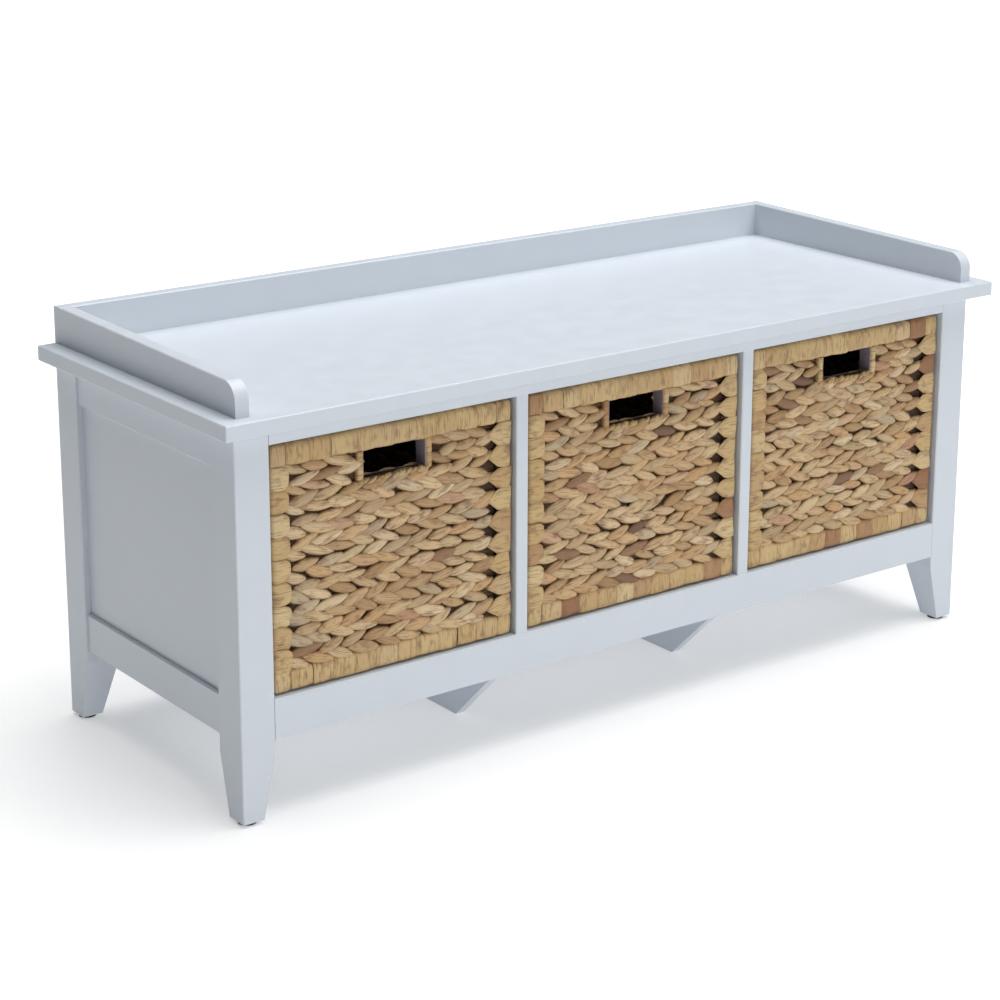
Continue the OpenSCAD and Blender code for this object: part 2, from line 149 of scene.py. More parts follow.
# %% Glide, dowel, screw, frame and strap finishes
SMALL_FINISHES = {
    # name: low colour, high colour, pattern (mm), stretch, roughness, metal, bump (mm)
    "moulded_polyethylene": ("17181A", "232427", 0.5, (1, 1, 1), 0.5, 0.0, 0.02),
    "turned_beech": ("C39A6C", "DDBB8E", 1.0, (1, 1, 0.12), 0.62, 0.0, 0.05),
    "zinc_plated_steel": ("B4B7BA", "CFD1D2", 0.6, (1, 1, 1), 0.3, 1.0, 0.01),
    "powder_coated_wire": ("2A2725", "37332F", 0.7, (1, 1, 1), 0.55, 0.0, 0.04),
    "grey_steel_strap": ("857C8A", "968D99", 3.0, (1, 1, 1), 0.5, 0.0, 0.02),
}


def small_finish(name):
    low, high, size, stretch, rough, metal, bump = SMALL_FINISHES[name]
    material, tree, shader = finish(name)
    place = add(tree, "ShaderNodeTexCoord").outputs["Object"]
    place = add(tree, "ShaderNodeMapping",
                {"Vector": place, "Scale": stretch}).outputs["Vector"]
    grain = add(tree, "ShaderNodeTexNoise", {
        "Vector": place, "Scale": 1 / (size * MM), "Detail": 3.0}).outputs["Fac"]
    tree.links.new(ramp(tree, grain, [(0.35, low), (0.65, high)]),
                   shader.inputs["Base Color"])
    tree.links.new(add(tree, "ShaderNodeMapRange", {
        "Value": grain, "To Min": rough - 0.06, "To Max": rough + 0.06,
    }).outputs["Result"], shader.inputs["Roughness"])
    tree.links.new(add(tree, "ShaderNodeBump", {
        "Height": grain, "Strength": 0.4, "Distance": bump * MM,
    }).outputs["Normal"], shader.inputs["Normal"])
    shader.inputs["Metallic"].default_value = metal
    return material


small = {name: small_finish(name) for name in SMALL_FINISHES}
print("made", ", ".join(small))

# %% [markdown]
# ## Dried water hyacinth
# The baskets are plaited from water hyacinth stalks. A dried stalk flattens to a
# papery straw with fibres along it, and its colour runs from pale straw through
# greyish and pinkish ones to a few brown ones. Each stalk piece carries one random
# number, its tone, and a ramp turns that into its colour. The fibres come from noise
# that is stretched along the stalk on the piece's own UV map, which is laid out in
# centimetres: across the stalk in U and along it in V. Adding a multiple of the tone
# to the noise's third direction gives every stalk its own fibres.

# %% Hyacinth finishes
STALK_TONES = [(0.0, "6E5140"), (0.008, "8A6A4D"), (0.03, "A9875E"), (0.2, "BC9D74"),
               (0.36, "CDB187"), (0.5, "B59C77"), (0.62, "D2B990"), (0.76, "C19B6D"),
               (0.86, "B19E80"), (0.94, "D6BF99"), (1.0, "B58C6D")]
WRAP_TONES = [(0.0, "8F6444"), (0.05, "AB845B"), (0.12, "BD9E6C"), (0.5, "C7AC7B"),
              (0.75, "B89868"), (0.92, "CDB588"), (1.0, "AE8A60")]
# the cores' dark brown is painted shade: darker than any stalk, it stands in for the
# shade between the leaves
PAINTED_SHADE_CORE_TONES = [(0.0, "3A291C"), (1.0, "4C3726")]
STAIN, STREAK = "82604A", "7B5C3E"     # the brown of a stain and of a fibre
TONE_STEP = 63.0                       # how far apart two stalks' noise patterns are


def hyacinth(name, tones, fibre_mm, blotch, rough):
    """fibre_mm is the fibres' spacing, blotch how strongly stains show."""
    material, tree, shader = finish(name)
    tone = add(tree, "ShaderNodeAttribute", attribute_name="tone").outputs["Fac"]
    flat = add(tree, "ShaderNodeSeparateXYZ", {
        "Vector": add(tree, "ShaderNodeUVMap", uv_map="UVMap").outputs["UV"]})
    shift = add(tree, "ShaderNodeMath",
                {0: tone, 1: TONE_STEP}, operation="MULTIPLY").outputs[0]
    along = add(tree, "ShaderNodeCombineXYZ", {
        "X": flat.outputs["X"], "Y": flat.outputs["Y"], "Z": shift}).outputs["Vector"]
    fibre = add(tree, "ShaderNodeTexNoise", {
        "Vector": add(tree, "ShaderNodeMapping", {
            "Vector": along, "Scale": (10 / fibre_mm, 0.5, 1)}).outputs["Vector"],
        "Scale": 1.0, "Detail": 3.0, "Roughness": 0.6}).outputs["Fac"]
    stain = add(tree, "ShaderNodeTexNoise", {
        "Vector": add(tree, "ShaderNodeMapping", {
            "Vector": along, "Scale": (1.6, 0.7, 1.3)}).outputs["Vector"],
        "Scale": 1.0, "Detail": 4.0}).outputs["Fac"]
    colour = ramp(tree, tone, tones)
    stained = add(tree, "ShaderNodeMix", {
        0: add(tree, "ShaderNodeMapRange", {
            "Value": stain, "From Min": 0.54, "From Max": 0.70,
            "To Max": blotch}).outputs["Result"],
        6: colour, 7: linear(STAIN)}, data_type="RGBA").outputs[2]
    streaked = add(tree, "ShaderNodeMix", {
        0: add(tree, "ShaderNodeMapRange", {
            "Value": fibre, "From Min": 0.48, "From Max": 0.30,
            "To Max": 0.8}).outputs["Result"],
        6: stained, 7: linear(STREAK)}, data_type="RGBA").outputs[2]
    tree.links.new(streaked, shader.inputs["Base Color"])
    tree.links.new(add(tree, "ShaderNodeMapRange", {
        "Value": fibre, "To Min": rough + 0.1, "To Max": rough - 0.1,
    }).outputs["Result"], shader.inputs["Roughness"])
    tree.links.new(add(tree, "ShaderNodeBump", {
        "Height": fibre, "Strength": 0.8, "Distance": 0.5 * MM,
    }).outputs["Normal"], shader.inputs["Normal"])
    shader.inputs["IOR"].default_value = 1.45
    return material


plait_finish = hyacinth("plaited_water_hyacinth", STALK_TONES, 1.1, 0.7, 0.6)
wrap_finish = hyacinth("split_hyacinth_wrap", WRAP_TONES, 1.3, 0.65, 0.55)
# the core's finish is painted shade, a dark brown for the shade behind the leaves
painted_shade_core_finish = hyacinth("shaded_stalk_core", PAINTED_SHADE_CORE_TONES, 1.5, 0.3, 0.8)
print("made", plait_finish.name, wrap_finish.name, painted_shade_core_finish.name)

# %% [markdown]
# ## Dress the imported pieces
# The bench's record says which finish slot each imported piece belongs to. So the
# finishes are handed out by slot, and no list of pieces has to be kept here. The
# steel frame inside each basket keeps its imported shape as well, because wire is wire.

# %% Give every board and fastener its finish
BY_SLOT = {"white_paint": lacquer, "glide_plastic": small["moulded_polyethylene"],
           "beech_dowel": small["turned_beech"],
           "zinc_screw": small["zinc_plated_steel"],
           "frame_steel": small["powder_coated_wire"],
           "hyacinth_wrap": wrap_finish, "hyacinth_plait": plait_finish}
dressed = 0
for row in frame["record"]["subparts"]:
    for holder in nodes[row["node"]].material_slots:
        holder.material = BY_SLOT[row["material_slot"]]
        dressed += 1
print(dressed, "material slots dressed")

# %% [markdown]
# ## One leaf of the plait
# In a three-strand plait each strand shows as a pointed, swollen leaf where it
# crosses the front, and then dives under its neighbour. So one leaf, made once and
# repeated, is the whole look. It is a closed lens: wide in the middle, drawn to a
# point at both ends, and crowned so that its edges drop out of sight.

# %% Build the leaf
LEAF_L, LEAF_W = 41 * MM, 16.6 * MM    # the leaf lies along X
CROWN, SINK = 1.9 * MM, 4.0 * MM       # how far it stands over and under the wall face
STATIONS, RIBS = 8, 4                  # faces along it and across it
UV_PER_M = 100                         # UV maps are in centimetres


def plain_mesh(name, points, faces, uvs=None):
    """A smooth mesh with a UV map in centimetres, given for each face corner."""
    mesh = bpy.data.meshes.new(name)
    mesh.from_pydata(points, [], faces)
    layer = mesh.uv_layers.new(name="UVMap")
    if uvs:
        for loop in mesh.loops:
            layer.data[loop.index].uv = uvs[loop.vertex_index]
    mesh.shade_smooth()
    return mesh


def leaf_mesh():
    points, uvs = [(-LEAF_L / 2, 0, -SINK)], [(0, 0)]
    for i in range(1, STATIONS):
        u = i / STATIONS
        swell = math.sin(math.pi * u)
        half = LEAF_W / 2 * swell ** 0.7
        for j in range(RIBS + 1):
            v = 2 * j / RIBS - 1
            height = (CROWN + SINK) * swell ** 0.6 * (1 - 0.92 * abs(v) ** 2.1)
            points.append(((u - 0.5) * LEAF_L, v * half, height - SINK))
            uvs.append((v * half * UV_PER_M, u * LEAF_L * UV_PER_M))
    points.append((LEAF_L / 2, 0, -SINK))
    uvs.append((0, LEAF_L * UV_PER_M))
    ring, last, faces = RIBS + 1, len(points) - 1, []
    for j in range(ring):
        k = (j + 1) % ring
        faces.append((0, 1 + k, 1 + j))
        faces.append((last, last - ring + j, last - ring + k))
        for i in range(STATIONS - 2):
            a, b = 1 + i * ring, 1 + (i + 1) * ring
            faces.append((a + j, a + k, b + k, b + j))
    return plain_mesh("plait_leaf", points, faces, uvs)


def scene_object(mesh):
    """Puts a mesh into the scene as an object of the same name."""
    thing = bpy.data.objects.new(mesh.name, mesh)
    bpy.context.scene.collection.objects.link(thing)
    return thing


leaf = scene_object(leaf_mesh())
print("a leaf has", len(leaf.data.polygons), "faces")

# %% [markdown]
# ## One turn of a wrapped rim
# The rims and corner posts are bars wound round and round with split stalks. Each
# turn is a flat band that closes on itself round a bar with eased edges. On a post
# the band narrows towards the plait, where the real turns draw together and leave
# dark gaps. The front right post is wound wider, so that its turns are triangles
# that fan out from the plait.

# %% Build the turns
TURN_W = 22 * MM       # the turn's width, along X
PROUD = 0.6 * MM       # how far the band stands off its bar
CORNER_STEPS = 4
CORNERS = [(1, 1), (-1, 1), (-1, -1), (1, -1)]     # (Y, Z), in order round the bar
# stations across the band: place in widths, and lift in mm
ACROSS = [(-0.5, -1.7), (-0.455, -0.45), (-0.2, 0.0), (0.15, 0.05), (0.45, -0.3),
          (0.5, -1.7)]


def on_corner(corner, degrees, deep, high, ease):
    """A point on an eased corner of the bar, at an angle round the corner's centre."""
    cy, cz = CORNERS[corner % 4]
    t = math.radians(degrees)
    return Vector((0, cy * (deep / 2 - ease) + ease * math.cos(t),
                   cz * (high / 2 - ease) + ease * math.sin(t)))


def turn_mesh(name, deep, high, ease, narrow, bend=3.0):
    """A band round a bar of deep (Y) by high (Z).

    narrow is the share of its width that it loses on the +Y and +Z faces, and bend
    is how late it starts to narrow on the faces that lead there.
    """
    outline = []
    for corner in range(4):
        for k in range(CORNER_STEPS + 1):
            outline.append(on_corner(corner, 90 * (corner + k / CORNER_STEPS),
                                     deep, high, ease))
        # two more stations on the flat that leads to the next corner
        here = outline[-1].copy()
        end = on_corner(corner + 1, 90 * (corner + 1), deep, high, ease)
        outline += [here.lerp(end, f) for f in (1 / 3, 2 / 3)]
    points, uvs, length = [], [], 0.0
    for i, spot in enumerate(outline):
        length += (spot - outline[i - 1]).length if i else 0
        away = Vector((0, spot.y / deep, spot.z / high)).normalized()
        pinch = max(0.0, 2 * spot.y / deep, 2 * spot.z / high) ** bend * narrow
        for x, lift in ACROSS:
            p = spot + away * (lift * MM + PROUD)
            points.append((x * TURN_W * (1 - pinch), p.y, p.z))
            uvs.append((x * TURN_W * UV_PER_M, length * UV_PER_M))
    n, m, faces = len(outline), len(ACROSS), []
    for i in range(n):
        for j in range(m):
            a, b, k = i * m, (i + 1) % n * m, (j + 1) % m
            faces.append((a + j, a + k, b + k, b + j))
    return plain_mesh(name, points, faces, uvs)


POST, FAN, EDGE = 23 * MM, 30 * MM, 7 * MM         # widths of the wound bars
RIM = 23 * MM                                      # height of a wound rim
EASE = 5 * MM
rim_turn = scene_object(turn_mesh("rim_turn", 20 * MM, RIM, EASE, 0.0))
post_turn = scene_object(turn_mesh("post_turn", POST, POST, EASE, 0.62))
fan_turn = scene_object(turn_mesh("fan_turn", POST, FAN, EASE, 0.85, 1.3))
edge_turn = scene_object(turn_mesh("edge_turn", EDGE, 20 * MM, 2.5 * MM, 0.0))
print("a turn has", len(rim_turn.data.polygons), "faces")

# %% [markdown]
# ## Rows of plait, with Geometry Nodes
# A wall is rows of plait lying on each other. Two half rows make one plait: in the
# upper half the leaves lean one way and in the lower half the other, half a leaf
# along. So a grid of points, one for each leaf, is enough: which half row a point is
# in says how its leaf leans. A little random shift, turn and size keeps it from
# looking stamped, and each leaf stores its tone before the copies become one mesh.

# %% Helpers for the trees
def new_tree(name, sockets):
    """A Geometry Nodes tree with named inputs; returns it and its input node."""
    tree = bpy.data.node_groups.new(name, "GeometryNodeTree")
    tree.interface.new_socket(name="Geometry", in_out="OUTPUT",
                              socket_type="NodeSocketGeometry")
    for label, kind in sockets.items():
        tree.interface.new_socket(name=label, in_out="INPUT",
                                  socket_type="NodeSocket" + kind)
    return tree, add(tree, "NodeGroupInput").outputs


def math_node(tree, operation, *values):
    return add(tree, "ShaderNodeMath", dict(enumerate(values)),
               operation=operation).outputs[0]


def random_vector(tree, seed, low, high):
    return add(tree, "FunctionNodeRandomValue", {0: low, 1: high, "Seed": seed},
               data_type="FLOAT_VECTOR").outputs[0]


def plant(tree, points, piece, turn, size, inputs):
    """Puts piece on every point, stores its tone, makes it real and places it."""
    copies = add(tree, "GeometryNodeInstanceOnPoints", {
        "Points": points, "Rotation": turn, "Scale": size,
        "Instance": add(tree, "GeometryNodeObjectInfo",
                        {"Object": inputs[piece]}).outputs["Geometry"]})
    tone = add(tree, "FunctionNodeRandomValue", {
        2: 0.0, 3: 1.0, "Seed": math_node(tree, "ADD", inputs["Seed"], 4.0)},
        data_type="FLOAT").outputs[1]
    toned = add(tree, "GeometryNodeStoreNamedAttribute", {
        "Geometry": copies.outputs[0], "Name": "tone", "Value": tone},
        data_type="FLOAT", domain="INSTANCE")
    real = add(tree, "GeometryNodeRealizeInstances", {0: toned.outputs[0]})
    placed = add(tree, "GeometryNodeTransform", {
        "Geometry": real.outputs[0], "Translation": inputs["Place"],
        "Rotation": inputs["Turn"]})
    done = add(tree, "GeometryNodeSetMaterial", {
        "Geometry": placed.outputs[0], "Material": inputs["Material"]})
    add(tree, "NodeGroupOutput", {0: done.outputs[0]})


print("every tree ends in Realize Instances, Transform and Set Material")

# %% [markdown]
# ## The plait tree
# How far a leaf may stray is written in three ranges: a shift, a turn and a size.
# They are small beside the leaf, because a real plait is pulled tight. The stagger
# moves the two half rows a quarter of a leaf each, in opposite directions.

# %% Build the plait tree
SHIFT = (2.6 * MM, 1.1 * MM, 0.5 * MM)             # either way, along, up and out
WOBBLE = (0.18, 0.06, 0.16)                        # either way, in radians
SMALLEST, LARGEST = (0.84, 0.82, 0.7), (1.17, 1.12, 1.04)  # times its own size
SINK_FROM, SINK_TO = 20 * MM, 8 * MM               # from a row's end, where it sinks
STAGGER = 0.25                                     # of a leaf's pitch

plait_tree, given = new_tree("plait_rows", {
    "Leaf": "Object", "Width": "Float", "Height": "Float", "Columns": "Int",
    "Half Rows": "Int", "Lean": "Float", "Roll": "Float", "Leaf Scale": "Vector",
    "Rough": "Float", "Tuck": "Float", "Seed": "Int", "Place": "Vector",
    "Turn": "Vector", "Material": "Material"})
pitch_x = math_node(plait_tree, "DIVIDE", given["Width"], given["Columns"])
pitch_y = math_node(plait_tree, "DIVIDE", given["Height"], given["Half Rows"])
grid = add(plait_tree, "GeometryNodeMeshGrid", {
    "Size X": math_node(plait_tree, "SUBTRACT", given["Width"], pitch_x),
    "Size Y": math_node(plait_tree, "SUBTRACT", given["Height"], pitch_y),
    "Vertices X": given["Columns"], "Vertices Y": given["Half Rows"]})
spot = add(plait_tree, "ShaderNodeSeparateXYZ", {
    0: add(plait_tree, "GeometryNodeInputPosition").outputs[0]}).outputs
half_row = math_node(plait_tree, "FLOOR", math_node(
    plait_tree, "DIVIDE", math_node(
        plait_tree, "MULTIPLY_ADD", given["Height"], 0.5, spot["Y"]), pitch_y))
side = math_node(plait_tree, "MULTIPLY_ADD",       # -1 below, +1 above
                 math_node(plait_tree, "FLOORED_MODULO", half_row, 2.0), 2.0, -1.0)
jitter = add(plait_tree, "ShaderNodeVectorMath", {
    0: random_vector(plait_tree, given["Seed"], (-1, -1, -1), (1, 1, 1)),
    1: SHIFT}, operation="MULTIPLY").outputs[0]
stagger = math_node(plait_tree, "MULTIPLY",
                    math_node(plait_tree, "MULTIPLY", side, STAGGER), pitch_x)
# leaves near either end of a row sink, to pass under the wrapped post
to_end = math_node(plait_tree, "SUBTRACT", math_node(
    plait_tree, "MULTIPLY", given["Width"], 0.5),
    math_node(plait_tree, "ABSOLUTE", spot["X"]))
sink = add(plait_tree, "ShaderNodeMapRange", {
    "Value": to_end, "From Min": SINK_TO, "From Max": SINK_FROM,
    "To Min": math_node(plait_tree, "MULTIPLY", given["Tuck"], -1.0), "To Max": 0.0,
}).outputs["Result"]
shifted = add(plait_tree, "ShaderNodeVectorMath", {
    0: jitter, 1: add(plait_tree, "ShaderNodeCombineXYZ",
                      {"X": stagger, "Z": sink}).outputs[0]},
    operation="ADD").outputs[0]
moved = add(plait_tree, "GeometryNodeSetPosition", {
    "Geometry": grid.outputs["Mesh"], "Offset": shifted}).outputs[0]
wobble = random_vector(plait_tree, math_node(plait_tree, "ADD", given["Seed"], 1.0),
                       tuple(-angle for angle in WOBBLE), WOBBLE)
lean = add(plait_tree, "ShaderNodeCombineXYZ", {
    "X": math_node(plait_tree, "MULTIPLY",
                   math_node(plait_tree, "MULTIPLY", side, given["Roll"]), -1.0),
    "Z": math_node(plait_tree, "MULTIPLY", side, given["Lean"])}).outputs[0]
turned = add(plait_tree, "ShaderNodeVectorMath", {
    0: lean, 1: add(plait_tree, "ShaderNodeVectorMath", {
        0: wobble, "Scale": given["Rough"]}, operation="SCALE").outputs[0]},
    operation="ADD").outputs[0]
sized = add(plait_tree, "ShaderNodeVectorMath", {
    0: random_vector(plait_tree,
                     math_node(plait_tree, "ADD", given["Seed"], 2.0),
                     SMALLEST, LARGEST),
    1: given["Leaf Scale"]}, operation="MULTIPLY").outputs[0]
plant(plait_tree, moved, "Leaf", turned, sized, given)
print("the plait tree has", len(plait_tree.nodes), "nodes")

# %% [markdown]
# ## Turns along a bar
# A wrapped bar is simpler: a line of points, one turn on each. Every turn is a touch
# wider or narrower than its share, slightly bigger or smaller, and a few degrees
# askew, so the edge of the band against the plait wanders as hand winding does.

# %% Build the winding tree
SKEW = (0.01, 0.05, 0.04)                          # either way, in radians
LEAST, MOST = (0.99, 0.985, 0.97), (1.17, 1.02, 1.08)      # times its own size

wind_tree, given = new_tree("wound_bar", {
    "Piece": "Object", "Length": "Float", "Turns": "Int", "Rough": "Float",
    "Seed": "Int", "Place": "Vector", "Turn": "Vector", "Material": "Material"})
share = math_node(wind_tree, "DIVIDE", given["Length"], given["Turns"])
first = math_node(wind_tree, "MULTIPLY",
                  math_node(wind_tree, "SUBTRACT", given["Length"], share), -0.5)
line = add(wind_tree, "GeometryNodeMeshLine", {
    "Count": given["Turns"],
    "Start Location": add(wind_tree, "ShaderNodeCombineXYZ",
                          {"X": first}).outputs[0],
    "Offset": add(wind_tree, "ShaderNodeCombineXYZ", {"X": share}).outputs[0]})
skew = add(wind_tree, "ShaderNodeVectorMath", {
    0: random_vector(wind_tree, given["Seed"], tuple(-angle for angle in SKEW), SKEW),
    "Scale": given["Rough"]}, operation="SCALE").outputs[0]
fit = add(wind_tree, "ShaderNodeVectorMath", {
    0: random_vector(wind_tree, math_node(wind_tree, "ADD", given["Seed"], 1.0),
                     LEAST, MOST),
    1: add(wind_tree, "ShaderNodeCombineXYZ", {
        "X": math_node(wind_tree, "DIVIDE", share, TURN_W),
        "Y": 1.0, "Z": 1.0}).outputs[0]}, operation="MULTIPLY").outputs[0]
plant(wind_tree, line.outputs[0], "Piece", skew, fit, given)
print("the winding tree has", len(wind_tree.nodes), "nodes")

# %% [markdown]
# ## From a tree to a plain mesh
# A tree is used through a modifier on an object. The inputs are set by each
# socket's identifier, the result is copied out as a plain mesh, and the object goes
# away again. Several such meshes that share a finish are joined into one piece.

# %% Grow a mesh and join meshes
def grow(tree, **values):
    """The mesh that the tree makes; a space in an input's name is written as _."""
    carrier = scene_object(bpy.data.meshes.new("carrier"))
    modifier = carrier.modifiers.new("grow", "NODES")
    modifier.node_group = tree
    for socket in tree.interface.items_tree:
        if socket.in_out == "INPUT":
            modifier[socket.identifier] = values[socket.name.replace(" ", "_")]
    ready = carrier.evaluated_get(bpy.context.evaluated_depsgraph_get())
    mesh = bpy.data.meshes.new_from_object(ready)
    bpy.data.objects.remove(carrier)
    return mesh


def join(name, meshes, material):
    """One object with one finish, made of the meshes."""
    parts = [scene_object(mesh) for mesh in meshes]
    if len(parts) > 1:
        with bpy.context.temp_override(active_object=parts[0], object=parts[0],
                                       selected_objects=parts,
                                       selected_editable_objects=parts):
            bpy.ops.object.join()
    piece = parts[0]
    piece.name = piece.data.name = name
    piece.data.materials.clear()
    piece.data.materials.append(material)
    return piece


def own(piece, body, slot, *stands_for):
    """The piece moves with body and hides the CAD nodes; slot is not used."""
    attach(piece, body)
    if stands_for:
        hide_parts(*stands_for)
    triangles = sum(len(p.vertices) - 2 for p in piece.data.polygons)
    print(f"{piece.name}: {triangles} triangles on {body}")


print("ready to weave")

# %% [markdown]
# ## The stalks behind the leaves, painted dark as shade
# Between the leaves one looks at the back of other stalks, in shadow. A wall of
# horizontal rolls, one for each plait, stands behind them and gives that depth; its dark
# brown is painted shade, darker than a stalk's own colour. Its profile is a rule, so it
# is drawn as one outline and pulled along the wall.

# %% Build a rolled core
ROLL_STEPS = 6         # stations up each roll


def toned(mesh, tone):
    """Stores one tone for the whole mesh, as the trees do for each of their copies."""
    values = mesh.attributes.new("tone", "FLOAT", "POINT").data
    values.foreach_set("value", [tone] * len(mesh.vertices))
    return mesh


def rolled_slab(length, height, thick, roll, pitch, place, turn):
    """A slab along X, high in Y, thick in Z, whose two faces are rolls on pitch."""
    steps = max(2, round(height / pitch * ROLL_STEPS))
    outline = []
    for k in range(steps + 1):
        y = height * k / steps
        swell = roll * abs(math.sin(math.pi * y / pitch)) ** 0.6
        outline.append((y - height / 2, thick / 2 + swell))
    outline += [(y, -z) for y, z in reversed(outline)]
    n = len(outline)
    points = [(x, y, z) for x in (-length / 2, length / 2) for y, z in outline]
    uvs = [(y * UV_PER_M, x * UV_PER_M) for x, y, z in points]
    faces = [(i, (i + 1) % n, n + (i + 1) % n, n + i) for i in range(n)]
    for k in range(n // 2 - 1):        # the two ends, a strip at a time
        a, b, c, d = k, k + 1, n - 2 - k, n - 1 - k
        faces += [(a, d, c, b), (n + a, n + b, n + c, n + d)]
    mesh = toned(plain_mesh("core", points, faces, uvs), 0.5)
    mesh.transform(Matrix.Translation(place)
                   @ Euler(turn, "XYZ").to_matrix().to_4x4())
    return mesh


print("a roll has", ROLL_STEPS, "stations")

# %% [markdown]
# ## Sizes that a basket's pieces share
# Each wall has leaves on both faces, because the basket slides out and shows its
# inside. A face is described by its middle, its length, and the turn that takes the
# tree's flat plait (X along, Y up, Z out) to it. The outer sizes come from the packed
# rims, so the woven basket fits its bay: only the crowns of the leaves and the turns
# stand a millimetre or two over the walls that were designed.

# %% Basket sizes
WALL, FLOOR = 20 * MM, 12 * MM
HOLE_W, HOLE_H = 78 * MM, 32 * MM
LEAF_PITCH, TUCK = 27 * MM, 0.5 * MM
HALF_ROW = 12.3 * MM   # the height of half row that a leaf of its own size fills
PLAITS = 9             # in a wall; each is two half rows
BELOW_ROWS, BESIDE_ROWS, FLOOR_ROWS = 16, 3, 26    # half rows
HOLE_EDGE = 11 * MM    # the plait beside the hand hole stops this far from it
FAN_GAP = 10 * MM      # and this far from the fanned turns of the right post
UP = math.pi / 2
ALONG, FLAT, UPSIDE_DOWN = (0, 0, UP), (0, 0, 0), (math.pi, 0, 0)
FRONT, BACK = (UP, 0, 0), (UP, 0, math.pi)
LEFT, RIGHT = (UP, 0, -UP), (UP, 0, UP)
PLAIT_SLOT, WRAP_SLOT = "hyacinth_plait", "hyacinth_wrap"


def basket_sizes(side, number):
    """What the pieces of one basket share; its seed sets every draw in it."""
    body = side + "_basket"
    low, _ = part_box(body + "_bottom_rim")
    _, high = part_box(body + "_top_rim")
    b = SimpleNamespace(body=body, low=low, high=high, mid=(low + high) / 2,
                        seed=1000 * (number + 1))
    b.rim_low, b.rim_high = low.z + RIM, high.z - RIM
    b.tall, b.wide, b.deep = b.rim_high - b.rim_low, high.x - low.x, high.y - low.y
    b.z = (b.rim_low + b.rim_high) / 2
    b.run_x, b.run_y = b.wide - 2 * WALL + 2 * TUCK, b.deep - 2 * WALL + 2 * TUCK
    b.hole_low = b.rim_high - HOLE_H
    b.hole_z = b.hole_low + HOLE_H / 2
    b.below, b.beside = b.hole_low - b.rim_low, (b.run_x - HOLE_W) / 2
    return b


def field(place, turn, width, height, half_rows, seed, scale_z=1.0, tuck=2.0 * MM):
    """One flat field of plait; tuck is how far its end leaves sink."""
    columns = max(1, round(width / LEAF_PITCH))
    scale = (width / columns / LEAF_PITCH, height / half_rows / HALF_ROW, scale_z)
    return grow(plait_tree, Leaf=leaf, Width=width, Height=height, Columns=columns,
                Half_Rows=half_rows, Lean=0.25, Roll=0.14, Leaf_Scale=scale,
                Rough=1.0, Tuck=tuck, Seed=seed, Place=place, Turn=turn,
                Material=plait_finish)


def winding(piece, place, turn, length, turns, seed, rough=1.0):
    """A bar's turns, of which the first lies at one end and the last at the other."""
    return grow(wind_tree, Piece=piece, Length=length, Turns=turns, Rough=rough,
                Seed=seed, Place=place, Turn=turn, Material=wrap_finish)


for k, side in enumerate(("left", "middle", "right")):
    b = basket_sizes(side, k)
    print(b.body, "is", [round(v / MM, 1) for v in b.high - b.low], "mm")

# %% [markdown]
# ## Walls
# The back and the sides are one field of plait on each face. The front has a hand
# hole under its rim, so there the plait is three fields round the hole: one below
# it and one on each side. The one field that meets the fanned turns stops short.

# %% Weave the walls
def weave_walls(b):
    """All the leaves of the four walls: one outer piece and one inner piece."""
    low, high, mid = b.low, b.high, b.mid
    faces = [("outer", BACK, (mid.x, high.y, b.z), b.run_x, 0),
             ("outer", LEFT, (low.x, mid.y, b.z), b.run_y, 10),
             ("outer", RIGHT, (high.x, mid.y, b.z), b.run_y, 20),
             ("inner", FRONT, (mid.x, high.y - WALL, b.z), b.run_x, 40),
             ("inner", RIGHT, (low.x + WALL, mid.y, b.z), b.run_y, 50),
             ("inner", LEFT, (high.x - WALL, mid.y, b.z), b.run_y, 60)]
    made = {"outer": [], "inner": []}
    for where, turn, place, width, k in faces:
        made[where].append(field(place, turn, width, b.tall, 2 * PLAITS, b.seed + k))
    for where, turn, y, seed, gap in (
            ("outer", FRONT, low.y, b.seed + 100, FAN_GAP),
            ("inner", BACK, low.y + WALL, b.seed + 200, 0.0)):
        made[where].append(field((mid.x - gap / 2, y, b.rim_low + b.below / 2), turn,
                                 b.run_x - gap, b.below, BELOW_ROWS, seed))
        for s, short in ((-1, 0.0), (1, gap)):
            x = mid.x + s * (HOLE_W + b.beside + HOLE_EDGE - short) / 2
            made[where].append(field((x, y, b.hole_z), turn,
                                     b.beside - HOLE_EDGE - short, HOLE_H,
                                     BESIDE_ROWS, seed + 10 * (s + 2),
                                     tuck=0.3 * MM))
    own(join(b.body + "_outer_plaits", made["outer"], plait_finish), b.body,
        PLAIT_SLOT, b.body + "_front_wall", b.body + "_back_wall",
        b.body + "_side_walls")
    own(join(b.body + "_inner_plaits", made["inner"], plait_finish), b.body,
        PLAIT_SLOT)


print("walls have", PLAITS, "plaits")

# %% [markdown]
# ## Floor and cores
# The floor is plaited in the same way, in rows from side to side, with flatter leaves
# underneath that stay clear of the board the basket stands on. The cores fill the
# middle of every wall, post, rim and floor, so that no daylight shows between the
# leaves, and their dark brown is painted shade between the leaves.

# %% Weave the floor and fill the cores
FLOOR_LAP = 4 * MM                                 # the floor's leaves pass under the rim
WALL_CORE, WALL_ROLL = 7 * MM, 2 * MM              # thickness, and height of its rolls
FLOOR_CORE, FLOOR_ROLL = 3 * MM, 0.8 * MM
POST_CORE_W, POST_CORE, POST_ROLL = 14 * MM, 11 * MM, 1.5 * MM
RIM_CORE_H, RIM_CORE, RIM_ROLL = 17 * MM, 12 * MM, 1 * MM
SHORT = 4 * MM                                     # how much a rim's core falls short
HOLE_SETBACK = 2 * MM                              # a core stays this far from the hole


